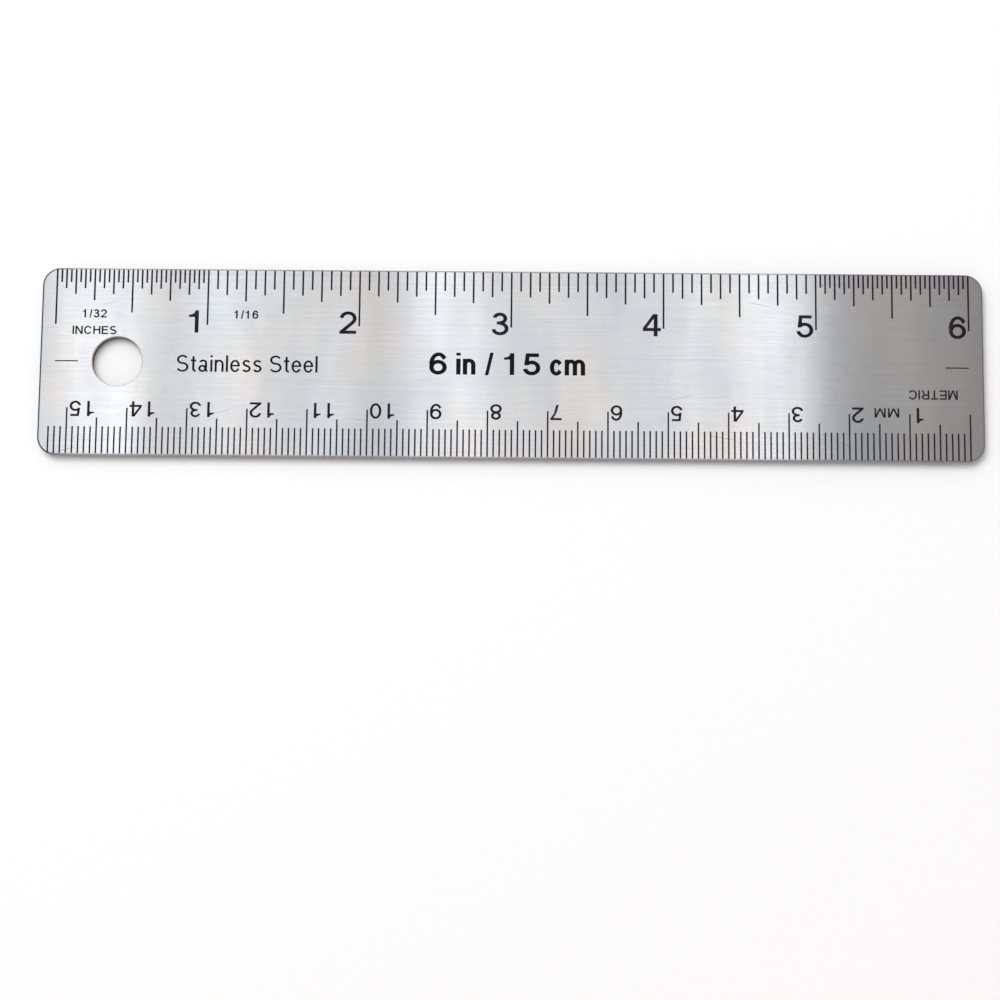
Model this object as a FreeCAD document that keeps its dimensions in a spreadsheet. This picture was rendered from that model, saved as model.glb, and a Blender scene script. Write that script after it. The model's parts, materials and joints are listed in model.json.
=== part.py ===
import FreeCAD, Part
import math
import os
import Sketcher

# A 6 inch / 15 cm stainless steel rule with a cork back, lying on its cork.
# Frame, in millimetres: the origin is in the middle of the cork's underside, +X runs along the
# blade away from the hang hole, +Y points to the inch edge and +Z out of the graduated face.

doc = FreeCAD.newDocument("steel_ruler")
V = FreeCAD.Vector

# ---------------------------------------------------------------------------------------------
# Driving dimensions, in millimetres
# ---------------------------------------------------------------------------------------------
SIZES = [
    # the stainless blade
    ("blade_length", 157.2),
    ("blade_width", 31.75),
    ("blade_thickness", 0.8),
    ("corner_radius", 3.0),
    ("edge_round", 0.1),
    ("hole_diameter", 8.4),
    ("hole_from_end", 12.9),
    # the cork strip and the adhesive film that holds it
    ("cork_thickness", 0.8),
    ("film_thickness", 0.1),
    ("cork_margin_hole_end", 1.4),
    ("cork_margin_far_end", 2.8),
    ("cork_margin_side", 1.7),
    # etched marks: their depth, and the bare steel kept past the last graduation
    ("etch_depth", 0.05),
    ("end_clear", 1.0),
    # inch scale, read with the hole on the left; each reach is measured from the edge
    ("inch_pitch", 25.4),
    ("inch_zero", 2.4),
    ("inch_line", 0.3),
    ("inch_edge_gap", 0.2),
    ("inch_reach_32", 2.4),
    ("inch_reach_16", 3.45),
    ("inch_reach_8", 4.45),
    ("inch_reach_4", 5.5),
    ("inch_reach_2", 7.55),
    ("inch_reach_whole", 9.6),
    ("inch_numeral_height", 3.8),
    ("inch_numeral_pen", 0.65),
    ("inch_numeral_drop", 7.1),
    # metric scale, read from the other end and the other edge
    ("metric_pitch", 1.0),
    ("metric_zero", 2.4),
    ("metric_line", 0.27),
    ("metric_edge_gap", 0.25),
    ("metric_reach_1", 4.8),
    ("metric_reach_5", 6.3),
    ("metric_reach_10", 8.0),
    ("metric_numeral_height", 2.58),
    ("metric_numeral_pen", 0.43),
    ("metric_numeral_drop", 6.5),
    # a numeral ends this far short of its graduation
    ("numeral_gap", 0.3),
    # small legends: cap height and pen, distance from a graduation, and drop from the edge;
    # the inch scale's unit word stands a gap above the hole instead
    ("small_pen", 0.28),
    ("inch_legend_height", 1.4),
    ("fraction_offset", 4.38),
    ("fraction_drop", 7.05),
    ("inches_offset", 2.84),
    ("inches_hole_gap", 0.375),
    ("metric_legend_height", 1.58),
    ("metric_offset", 2.0),
    ("metric_drop", 10.5),
    ("millimetre_offset", 1.75),
    ("millimetre_drop", 7.4),
    # legends on the centreline, placed from the hole end of the blade
    ("material_height", 2.82),
    ("material_pen", 0.37),
    ("material_from_end", 22.8),
    ("material_baseline", -1.68),
    ("length_height", 3.7),
    ("length_pen", 0.74),
    ("length_from_end", 65.0),
    ("length_baseline", -1.8),
    # hairlines on the centreline at both ends
    ("hairline_length", 3.85),
    ("hairline_width", 0.2),
    ("hairline_from_end", 2.5),
]

sheet = doc.addObject("Spreadsheet::Sheet", "Sizes")
for row, (alias, value) in enumerate(SIZES, start=1):
    sheet.set(f"A{row}", alias)
    sheet.set(f"B{row}", str(value))
    sheet.setAlias(f"B{row}", alias)
doc.recompute()


def size(alias):
    """The number that the sheet holds under this alias."""
    return float(sheet.get(alias))


# Places that several pieces share, as expressions on the sheet.
FILM_Z = "Sizes.cork_thickness"
BLADE_Z = "Sizes.cork_thickness + Sizes.film_thickness"
MARKS_Z = f"{BLADE_Z} + Sizes.blade_thickness - Sizes.etch_depth"
HOLE_X = "-Sizes.blade_length / 2 + Sizes.hole_from_end"
WHOLE_INCHES = "floor((Sizes.blade_length - Sizes.inch_zero - Sizes.end_clear) / Sizes.inch_pitch)"
WHOLE_MILLIMETRES = "floor((Sizes.blade_length - Sizes.metric_zero - Sizes.end_clear) / Sizes.metric_pitch)"


# ---------------------------------------------------------------------------------------------
# PartDesign helpers
# ---------------------------------------------------------------------------------------------
def bind(item, prop, expression):
    item.setExpression(prop, str(expression))


def new_body(label):
    body = doc.addObject("PartDesign::Body", label)
    body.Label = label
    return body


def datum(body, role):
    """One of the body's own origin planes or axes."""
    return next(item for item in body.Origin.OriginFeatures if item.Role == role)


def new_sketch(body, name, x_place, y_place):
    """A sketch on the body's XY plane, with its own origin moved to the given place."""
    sketch = body.newObject("Sketcher::SketchObject", name)
    sketch.AttachmentSupport = [(datum(body, "XY_Plane"), "")]
    sketch.MapMode = "FlatFace"
    bind(sketch, ".AttachmentOffset.Base.x", x_place)
    bind(sketch, ".AttachmentOffset.Base.y", y_place)
    return sketch


def dimension(sketch, constraint, label, expression):
    number = sketch.addConstraint(constraint)
    sketch.renameConstraint(number, label)
    bind(sketch, f"Constraints.{label}", expression)


def rectangle(body, name, left, bottom, width, height):
    """A rectangle with its lower left corner on the sketch's origin."""
    sketch = new_sketch(body, name, left, bottom)
    corners = [V(0, 0, 0), V(1, 0, 0), V(1, 1, 0), V(0, 1, 0)]
    for side, kind in enumerate(("Horizontal", "Vertical", "Horizontal", "Vertical")):
        sketch.addGeometry(Part.LineSegment(corners[side], corners[(side + 1) % 4]))
        sketch.addConstraint(Sketcher.Constraint(kind, side))
    for side in range(4):
        sketch.addConstraint(Sketcher.Constraint("Coincident", side, 2, (side + 1) % 4, 1))
    sketch.addConstraint(Sketcher.Constraint("Coincident", 0, 1, -1, 1))
    dimension(sketch, Sketcher.Constraint("DistanceX", 0, 1, 0, 2, 1.0), "width", width)
    dimension(sketch, Sketcher.Constraint("DistanceY", 1, 1, 1, 2, 1.0), "height", height)
    return sketch


def circle(body, name, x_place, y_place, diameter):
    """A circle centred on the sketch's origin."""
    sketch = new_sketch(body, name, x_place, y_place)
    sketch.addGeometry(Part.Circle(V(0, 0, 0), V(0, 0, 1), 1.0))
    sketch.addConstraint(Sketcher.Constraint("Coincident", 0, 3, -1, 1))
    dimension(sketch, Sketcher.Constraint("Diameter", 0, 2.0), "diameter", diameter)
    return sketch


def pad(body, name, sketch, thickness):
    feature = body.newObject("PartDesign::Pad", name)
    feature.Profile = sketch
    bind(feature, "Length", thickness)
    body.Tip = feature
    return feature


def cut_through(body, name, sketch, thickness):
    """A pocket upwards from the underside, through the whole thickness."""
    doc.recompute()
    before = body.Shape.Volume
    feature = body.newObject("PartDesign::Pocket", name)
    feature.Profile = sketch
    feature.Reversed = True
    bind(feature, "Length", thickness)
    body.Tip = feature
    doc.recompute()
    if body.Shape.Volume >= before:
        raise RuntimeError(f"{name} removed nothing")
    return feature


def round_edges(body, name, base, radius, wanted):
    """A fillet on the edges of the base feature that the test picks."""
    names = [f"Edge{number}" for number, edge in enumerate(base.Shape.Edges, start=1) if wanted(edge)]
    feature = body.newObject("PartDesign::Fillet", name)
    feature.Base = (base, names)
    bind(feature, "Radius", radius)
    body.Tip = feature
    doc.recompute()
    return feature


def upright(edge):
    return edge.BoundBox.ZLength > edge.BoundBox.DiagonalLength * 0.999


def level(edge):
    return edge.BoundBox.ZLength < 1e-6


# ---------------------------------------------------------------------------------------------
# Cork backing and adhesive film: two strips of one outline, square at the corners. The hang
# hole is punched through them and the blade in one stroke, so all three share its diameter.
# ---------------------------------------------------------------------------------------------
def backing_strip(label, floor_z, thickness):
    body = new_body(label)
    bind(body, ".Placement.Base.z", floor_z)
    outline = rectangle(
        body,
        f"{label}_outline",
        left="-Sizes.blade_length / 2 + Sizes.cork_margin_hole_end",
        bottom="-Sizes.blade_width / 2 + Sizes.cork_margin_side",
        width="Sizes.blade_length - Sizes.cork_margin_hole_end - Sizes.cork_margin_far_end",
        height="Sizes.blade_width - 2 * Sizes.cork_margin_side",
    )
    pad(body, f"{label}_strip", outline, thickness)
    hole = circle(body, f"{label}_hole_outline", HOLE_X, "0", "Sizes.hole_diameter")
    cut_through(body, f"{label}_hole", hole, thickness)
    return body


cork_backing = backing_strip("cork_backing", "0", "Sizes.cork_thickness")
adhesive_film = backing_strip("adhesive_film", FILM_Z, "Sizes.film_thickness")

# ---------------------------------------------------------------------------------------------
# Blade blank: a blanked strip with round corners and one hang hole, its edges lightly broken
# ---------------------------------------------------------------------------------------------
blade_blank = new_body("blade_blank")
bind(blade_blank, ".Placement.Base.z", BLADE_Z)
blade_outline = rectangle(
    blade_blank,
    "blade_outline",
    left="-Sizes.blade_length / 2",
    bottom="-Sizes.blade_width / 2",
    width="Sizes.blade_length",
    height="Sizes.blade_width",
)
blade_strip = pad(blade_blank, "blade_strip", blade_outline, "Sizes.blade_thickness")
doc.recompute()
blade_corners = round_edges(blade_blank, "blade_corners", blade_strip, "Sizes.corner_radius", upright)
hang_hole_outline = circle(blade_blank, "hang_hole_outline", HOLE_X, "0", "Sizes.hole_diameter")
hang_hole = cut_through(blade_blank, "hang_hole", hang_hole_outline, "Sizes.blade_thickness")
round_edges(blade_blank, "broken_edges", hang_hole, "Sizes.edge_round", level)


# ---------------------------------------------------------------------------------------------
# Marking field: the flat of the top face, inside the broken edges, down to the etched depth
# ---------------------------------------------------------------------------------------------
marking_field = new_body("marking_field")
bind(marking_field, ".Placement.Base.z", MARKS_Z)
field_outline = rectangle(
    marking_field,
    "field_outline",
    left="-Sizes.blade_length / 2 + Sizes.edge_round",
    bottom="-Sizes.blade_width / 2 + Sizes.edge_round",
    width="Sizes.blade_length - 2 * Sizes.edge_round",
    height="Sizes.blade_width - 2 * Sizes.edge_round",
)
field_slab = pad(marking_field, "field_slab", field_outline, "Sizes.etch_depth")
doc.recompute()
round_edges(
    marking_field, "field_corners", field_slab, "Sizes.corner_radius - Sizes.edge_round", upright
)


# ---------------------------------------------------------------------------------------------
# Graduations. Each scale is drawn in its own reading frame: its zero line at X = 0 on the
# blade's edge, the numbers growing along +X and the middle of the blade towards -Y.
# The inch scale lies as it is read; the metric scale is turned half round about Z.
# ---------------------------------------------------------------------------------------------
INCH_FRAME = ("-Sizes.blade_length / 2 + Sizes.inch_zero", "Sizes.blade_width / 2", 0)
METRIC_FRAME = ("Sizes.blade_length / 2 - Sizes.metric_zero", "-Sizes.blade_width / 2", 180)


def place_in_frame(item, frame):
    x_place, y_place, turn = frame
    item.Placement.Rotation = FreeCAD.Rotation(V(0, 0, 1), turn)
    bind(item, ".Placement.Base.x", x_place)
    bind(item, ".Placement.Base.y", y_place)
    bind(item, ".Placement.Base.z", MARKS_Z)


def graduations(label, frame, line, edge_gap, ranks):
    """A bar for every graduation, kept to the marking field; a longer rank covers shorter bars."""
    body = new_body(f"{label}_bars")
    place_in_frame(body, frame)
    for name, first, pitch, count, reach in ranks:
        bar_outline = rectangle(
            body,
            f"{label}_{name}_outline",
            left=f"{first} - {line} / 2",
            bottom=f"-{reach}",
            width=line,
            height=f"{reach} - {edge_gap}",
        )
        bar = pad(body, f"{label}_{name}_bar", bar_outline, "Sizes.etch_depth")
        row_of_bars = body.newObject("PartDesign::LinearPattern", f"{label}_{name}")
        row_of_bars.Originals = [bar]
        row_of_bars.Direction = (datum(body, "X_Axis"), [""])
        row_of_bars.Mode = "Spacing"
        bind(row_of_bars, "Offset", pitch)
        bind(row_of_bars, "Occurrences", count)
        body.Tip = row_of_bars
        doc.recompute()
    item = doc.addObject("Part::Common", label)
    item.Label = label
    item.Base = body
    item.Tool = marking_field
    return item


inch_ranks = [
    ("32nds_first_inch", "0", "Sizes.inch_pitch / 32", "33", "Sizes.inch_reach_32"),
    (
        "32nds_last_inch",
        f"({WHOLE_INCHES} - 1) * Sizes.inch_pitch",
        "Sizes.inch_pitch / 32",
        "33",
        "Sizes.inch_reach_32",
    ),
]
for parts_of_inch in (16, 8, 4, 2, 1):
    reach_name = "whole" if parts_of_inch == 1 else str(parts_of_inch)
    inch_ranks.append((
        f"parts_of_{parts_of_inch}",
        "0",
        f"Sizes.inch_pitch / {parts_of_inch}",
        f"{WHOLE_INCHES} * {parts_of_inch} + 1",
        f"Sizes.inch_reach_{reach_name}",
    ))
inch_graduations = graduations(
    "inch_graduations", INCH_FRAME, "Sizes.inch_line", "Sizes.inch_edge_gap", inch_ranks
)

metric_ranks = [
    (
        f"every_{step}",
        "0",
        f"Sizes.metric_pitch * {step}",
        f"floor({WHOLE_MILLIMETRES} / {step}) + 1",
        f"Sizes.metric_reach_{step}",
    )
    for step in (1, 5, 10)
]
metric_graduations = graduations(
    "metric_graduations", METRIC_FRAME, "Sizes.metric_line", "Sizes.metric_edge_gap", metric_ranks
)

# ---------------------------------------------------------------------------------------------
# Centre hairlines: one at each end of the blade, on the centreline
# ---------------------------------------------------------------------------------------------
centre_hairlines = new_body("centre_hairlines")
bind(centre_hairlines, ".Placement.Base.z", MARKS_Z)
for end_name, hairline_left in (
    ("hole_end", "-Sizes.blade_length / 2 + Sizes.hairline_from_end"),
    ("far_end", "Sizes.blade_length / 2 - Sizes.hairline_from_end - Sizes.hairline_length"),
):
    hairline = rectangle(
        centre_hairlines,
        f"hairline_{end_name}_outline",
        left=hairline_left,
        bottom="-Sizes.hairline_width / 2",
        width="Sizes.hairline_length",
        height="Sizes.hairline_width",
    )
    pad(centre_hairlines, f"hairline_{end_name}", hairline, "Sizes.etch_depth")


# ---------------------------------------------------------------------------------------------
# Lettering: plain upright capitals, numerals and small letters, made of bars, slants and
# parts of elliptical rings. A sign is drawn with its cap height as 1; stem and beam are the
# widths of its upright and level strokes in that measure. Each entry is (width, strokes).
# ---------------------------------------------------------------------------------------------
def alphabet(stem, beam):
    six = [("ring", 0.36, 0.33, 0.36, 0.34, 0, 360), ("ring", 0.38, 0.5, 0.38, 0.51, 38, 215)]
    nine = [("ring", 0.36, 0.67, 0.36, 0.34, 0, 360), ("ring", 0.34, 0.5, 0.38, 0.51, 218, 395)]
    return {
        " ": (0.2, []),
        "0": (0.72, [("ring", 0.36, 0.5, 0.36, 0.51, 0, 360)]),
        "1": (0.72, [
            ("bar", 0.46 - stem, 0, 0.46, 1),
            ("slant", (0.04, 0.7), (0.46 - stem / 2, 0.7), (0.46 - stem / 2, 1), (0.33, 1), (0.28, 0.9),
             (0.19, 0.83), (0.04, 0.8)),
        ]),
        "2": (0.72, [
            ("ring", 0.36, 0.69, 0.36, 0.32, -42, 176),
            ("slant", (0.54, 0.6), (0, 0.11), (0, 0), (0.15, 0.04), (0.6, 0.45), (0.63, 0.5)),
            ("bar", 0, 0, 0.71, beam),
        ]),
        "3": (0.72, [
            ("ring", 0.35, 0.745, 0.31, 0.265, -90, 172),
            ("ring", 0.36, 0.29, 0.36, 0.3, -174, 90),
            ("bar", 0.22, 0.47, 0.37, 0.47 + beam),
        ]),
        "4": (0.76, [
            ("bar", 0.46, 0, 0.46 + stem, 1),
            ("bar", 0, 0.23, 0.76, 0.23 + beam),
            ("slant", (0, 0.23), (0, 0.37), (0.43, 1), (0.5, 1), (0.5, 0.85), (0.13, 0.32), (0.13, 0.23)),
        ]),
        "5": (0.72, [
            ("bar", 0.12, 1 - beam, 0.66, 1),
            ("slant", (0.12, 1), (0.12 + stem * 0.9, 1), (0.06 + stem, 0.45), (0.055, 0.45)),
            ("ring", 0.36, 0.33, 0.36, 0.34, -172, 132),
        ]),
        "6": (0.72, six),
        "7": (0.7, [
            ("bar", 0, 1 - beam, 0.7, 1),
            ("slant", (0.54, 0.92), (0.7, 0.9), (0.48, 0.56), (0.34, 0), (0.34 - stem, 0), (0.31, 0.5)),
        ]),
        "8": (0.72, [
            ("ring", 0.36, 0.745, 0.31, 0.265, 0, 360),
            ("ring", 0.36, 0.29, 0.36, 0.3, 0, 360),
        ]),
        "9": (0.72, nine),
        "/": (0.36, [("slant", (0, -0.02), (stem * 0.8, -0.02), (0.36, 1.02), (0.36 - stem * 0.8, 1.02))]),
        "C": (0.78, [("ring", 0.39, 0.5, 0.39, 0.51, 36, 324)]),
        "E": (0.64, [
            ("bar", 0, 0, stem, 1),
            ("bar", 0, 0, 0.64, beam),
            ("bar", 0, 0.46, 0.6, 0.46 + beam),
            ("bar", 0, 1 - beam, 0.63, 1),
        ]),
        "H": (0.7, [("bar", 0, 0, stem, 1), ("bar", 0.7 - stem, 0, 0.7, 1), ("bar", 0, 0.46, 0.7, 0.46 + beam)]),
        "I": (stem, [("bar", 0, 0, stem, 1)]),
        "M": (0.86, [
            ("bar", 0, 0, stem, 1),
            ("bar", 0.86 - stem, 0, 0.86, 1),
            ("slant", (0, 1), (stem * 1.3, 1), (0.43 + stem / 2, 0), (0.43 - stem / 2, 0)),
            ("slant", (0.86, 1), (0.86 - stem * 1.3, 1), (0.43 - stem / 2, 0), (0.43 + stem / 2, 0)),
        ]),
        "N": (0.72, [
            ("bar", 0, 0, stem, 1),
            ("bar", 0.72 - stem, 0, 0.72, 1),
            ("slant", (0, 1), (stem * 1.1, 1), (0.72, 0), (0.72 - stem * 1.1, 0)),
        ]),
        "R": (0.7, [
            ("bar", 0, 0, stem, 1),
            ("bar", 0, 1 - beam, 0.4, 1),
            ("bar", 0, 0.45, 0.4, 0.45 + beam),
            ("ring", 0.38, 0.725, 0.29, 0.275, -90, 90),
            ("slant", (0.34, 0.5), (0.34 + stem, 0.5), (0.7, 0), (0.7 - stem * 1.1, 0)),
        ]),
        "S": (0.7, [
            ("ring", 0.35, 0.735, 0.32, 0.275, 22, 270),
            ("ring", 0.35, 0.28, 0.35, 0.29, -160, 90),
            ("bar", 0.28, 0.57 - beam, 0.42, 0.46 + beam),
        ]),
        "T": (0.66, [("bar", 0, 1 - beam, 0.66, 1), ("bar", 0.33 - stem / 2, 0, 0.33 + stem / 2, 1)]),
        "a": (0.56, [
            ("ring", 0.23, 0.2, 0.23, 0.215, 0, 360),
            ("ring", 0.27, 0.53, 0.23, 0.205, 0, 165),
            ("bar", 0.5 - stem, 0.06, 0.5, 0.54),
            ("slant", (0.5 - stem, 0.12), (0.5, 0.12), (0.56, 0), (0.56 - stem, 0)),
        ]),
        "c": (0.52, [("ring", 0.27, 0.36, 0.27, 0.375, 40, 320)]),
        "e": (0.56, [
            ("ring", 0.28, 0.36, 0.28, 0.375, 0, 322),
            ("bar", 0.04, 0.33, 0.555, 0.33 + beam * 0.9),
        ]),
        "i": (stem, [("bar", 0, 0, stem, 0.73), ("bar", 0, 0.87, stem, 1)]),
        "l": (stem, [("bar", 0, 0, stem, 1)]),
        "m": (0.84, [
            ("bar", 0, 0, stem, 0.73),
            ("ring", 0.5 * (0.42 + stem / 2), 0.45, 0.5 * (0.42 + stem / 2), 0.285, 0, 180),
            ("bar", 0.42 - stem / 2, 0, 0.42 + stem / 2, 0.45),
            ("ring", 0.5 * (1.26 - stem / 2), 0.45, 0.5 * (0.42 + stem / 2), 0.285, 0, 180),
            ("bar", 0.84 - stem, 0, 0.84, 0.45),
        ]),
        "n": (0.52, [
            ("bar", 0, 0, stem, 0.73),
            ("ring", 0.26, 0.45, 0.26, 0.285, 0, 180),
            ("bar", 0.52 - stem, 0, 0.52, 0.45),
        ]),
        "s": (0.5, [
            ("ring", 0.25, 0.535, 0.225, 0.2, 18, 270),
            ("ring", 0.25, 0.205, 0.25, 0.215, -162, 90),
            ("bar", 0.2, 0.42 - beam, 0.3, 0.335 + beam),
        ]),
        "t": (0.32, [
            ("bar", 0.09, 0.18, 0.09 + stem, 0.93),
            ("bar", 0, 0.73 - beam, 0.31, 0.73),
            ("ring", 0.27, 0.19, 0.18, 0.2, 180, 282),
        ]),
    }


def flat_face(corners):
    wire = Part.makePolygon(corners + corners[:1])
    return Part.Face(wire)


def elliptical_disc(centre, half_width, half_height):
    if half_width >= half_height:
        curve = Part.Ellipse(centre + V(half_width, 0, 0), centre + V(0, half_height, 0), centre)
    else:
        curve = Part.Ellipse(centre + V(0, half_height, 0), centre + V(half_width, 0, 0), centre)
    return Part.Face(Part.Wire(curve.toShape()))


class Pen:
    """Draws flat signs of one cap height, stroke width and sideways stretch, in millimetres."""

    LEVEL_SHARE = 0.85  # a level stroke is this much of an upright one
    SECTOR_STEP = 45  # degrees between the corners of the fan that trims a ring

    def __init__(self, cap_height, stroke, stretch=1.0):
        self.x_scale = cap_height * stretch
        self.y_scale = cap_height
        self.stroke = stroke
        self.beam = stroke * self.LEVEL_SHARE
        self.signs = alphabet(self.stroke / self.x_scale, self.beam / self.y_scale)

    def point(self, x, y):
        return V(x * self.x_scale, y * self.y_scale, 0)

    def bar(self, left, bottom, right, top):
        return flat_face([self.point(x, y) for x, y in ((left, bottom), (right, bottom), (right, top), (left, top))])

    def slant(self, *corners):
        return flat_face([self.point(x, y) for x, y in corners])

    def ring(self, x, y, half_width, half_height, start, end):
        """An elliptical ring, or its part between two angles measured anticlockwise."""
        centre = self.point(x, y)
        wide = half_width * self.x_scale
        high = half_height * self.y_scale
        outer = elliptical_disc(centre, wide, high)
        inner = elliptical_disc(centre, wide - self.stroke, high - self.beam)
        ring = outer.cut(inner)
        if end - start >= 360:
            return ring
        reach = 3 * max(wide, high)
        steps = math.ceil((end - start) / self.SECTOR_STEP)
        fan = [centre]
        for step in range(steps + 1):
            angle = math.radians(start + (end - start) * step / steps)
            fan.append(centre + V(reach * math.cos(angle), reach * math.sin(angle), 0))
        return ring.common(flat_face(fan))

    def sign(self, name):
        """The width of one sign in millimetres, and its enamel, filled to the etched depth."""
        width, strokes = self.signs[name]
        depth = V(0, 0, size("etch_depth"))
        solids = []
        for kind, *numbers in strokes:
            flat = getattr(self, kind)(*numbers)
            for face in flat.Faces:
                solids.append(face.extrude(depth))
        if len(solids) > 1:
            solids = solids[0].fuse(solids[1:]).removeSplitter().Solids
        return width * self.x_scale, solids

    def word(self, text, spacing):
        """The width of a line of text, and its solids from X = 0 on the baseline."""
        solids = []
        reached = 0.0
        gap = spacing * self.y_scale
        for name in text:
            width, drawn = self.sign(name)
            solids += moved(drawn, reached, 0)
            reached += width + gap
        return reached - gap, solids


def moved(solids, x, y):
    return [solid.translated(V(x, y, 0)) for solid in solids]


def lettering(label, solids, frame):
    item = doc.addObject("Part::Feature", label)
    item.Label = label
    item.Shape = Part.makeCompound(solids)
    place_in_frame(item, frame)
    return item


# ---------------------------------------------------------------------------------------------
# Numerals: each ends just before its own graduation
# ---------------------------------------------------------------------------------------------
def numerals(label, frame, scale, count, pitch):
    height = size(f"{scale}_numeral_height")
    pen = Pen(height, size(f"{scale}_numeral_pen"), 1.04)
    solids = []
    for number in range(1, count + 1):
        width, drawn = pen.word(str(number), spacing=0.12)
        right_end = number * pitch - size("numeral_gap") - size(f"{scale}_line") / 2
        solids += moved(drawn, right_end - width, -size(f"{scale}_numeral_drop") - height)
    return lettering(label, solids, frame)


whole_inches = math.floor(
    (size("blade_length") - size("inch_zero") - size("end_clear")) / size("inch_pitch")
)
whole_centimetres = math.floor(
    (size("blade_length") - size("metric_zero") - size("end_clear")) / size("metric_pitch") / 10
)
inch_numerals = numerals(
    "inch_numerals", INCH_FRAME, "inch", whole_inches, size("inch_pitch")
)
metric_numerals = numerals(
    "metric_numerals", METRIC_FRAME, "metric", whole_centimetres, 10 * size("metric_pitch")
)


# ---------------------------------------------------------------------------------------------
# Small legends: the fractions that each part of the inch scale shows, and the unit words
# ---------------------------------------------------------------------------------------------
def small_word(text, scale, stretch, spacing, offset, drop):
    """Solids of one word, at a distance from the zero line and a drop from the edge."""
    height = size(f"{scale}_legend_height")
    pen = Pen(height, size("small_pen"), stretch)
    drawn = pen.word(text, spacing)[1]
    return moved(drawn, offset, -drop - height)


first_inch = size("inch_pitch")
first_centimetre = 10 * size("metric_pitch")
thirty_seconds = small_word("1/32", "inch", 1.0, 0.14, size("fraction_offset"), size("fraction_drop"))
sixteenths = small_word(
    "1/16", "inch", 1.0, 0.14, first_inch + size("fraction_offset"), size("fraction_drop")
)
drop_to_hole = (size("blade_width") - size("hole_diameter")) / 2
inches_drop = drop_to_hole - size("inches_hole_gap") - size("inch_legend_height")
inches = small_word("INCHES", "inch", 1.24, 0.14, size("inches_offset"), inches_drop)
metric = small_word("METRIC", "metric", 1.19, 0.14, size("metric_offset"), size("metric_drop"))
millimetres = small_word(
    "MM", "metric", 1.37, 0.24, first_centimetre + size("millimetre_offset"), size("millimetre_drop")
)
fraction_legends = lettering("fraction_legends", thirty_seconds + sixteenths, INCH_FRAME)
inch_unit_legend = lettering("inch_unit_legend", inches, INCH_FRAME)
metric_unit_legends = lettering("metric_unit_legends", metric + millimetres, METRIC_FRAME)

# ---------------------------------------------------------------------------------------------
# Centreline legends: the material, and the lengths of the two scales
# ---------------------------------------------------------------------------------------------
CENTRELINE_FRAME = ("-Sizes.blade_length / 2", "0", 0)


def centreline_word(label, text, name, stretch, spacing):
    pen = Pen(size(f"{name}_height"), size(f"{name}_pen"), stretch)
    drawn = pen.word(text, spacing)[1]
    solids = moved(drawn, size(f"{name}_from_end"), size(f"{name}_baseline"))
    return lettering(label, solids, CENTRELINE_FRAME)


material_legend = centreline_word("material_legend", "Stainless Steel", "material", 1.037, 0.125)
length_legend = centreline_word("length_legend", "6 in / 15 cm", "length", 1.1, 0.1)

# ---------------------------------------------------------------------------------------------
# Finished blade: the blank with every mark etched into its top face
# ---------------------------------------------------------------------------------------------
MARKS = [
    inch_graduations,
    metric_graduations,
    inch_numerals,
    metric_numerals,
    fraction_legends,
    inch_unit_legend,
    metric_unit_legends,
    centre_hairlines,
    material_legend,
    length_legend,
]
etching = doc.addObject("Part::Compound", "etching")
etching.Links = MARKS
steel_blade = doc.addObject("Part::Cut", "steel_blade")
steel_blade.Label = "steel_blade"
steel_blade.Base = blade_blank
steel_blade.Tool = etching
doc.recompute()

# ---------------------------------------------------------------------------------------------
# Checks, then one STEP file for each piece
# ---------------------------------------------------------------------------------------------
for item in doc.Objects:
    if {"Invalid", "Error"} & set(item.State):
        raise RuntimeError(f"{item.Label} failed: {item.State}")

pieces = [steel_blade, adhesive_film, cork_backing] + MARKS
for piece in pieces:
    if piece.Shape.isNull() or not piece.Shape.isValid():
        raise RuntimeError(f"{piece.Label} has no valid shape")

blank_volume = blade_blank.Shape.Volume
marks_volume = sum(mark.Shape.Volume for mark in MARKS)
if abs(blank_volume - marks_volume - steel_blade.Shape.Volume) > 1e-3 * marks_volume:
    raise RuntimeError("the etched marks do not all fall inside the blade's face")

os.makedirs("parts", exist_ok=True)
for piece in pieces:
    piece.Shape.exportStep(f"parts/{piece.Label}.step")
    print(f"{piece.Label}: {len(piece.Shape.Solids)} solids, {piece.Shape.Volume:.3f} mm3")
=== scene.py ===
"""A six inch steel rule with a cork back: its finishes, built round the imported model."""

import json
import math

import bmesh
import bpy
from mathutils import Matrix, Vector


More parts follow.
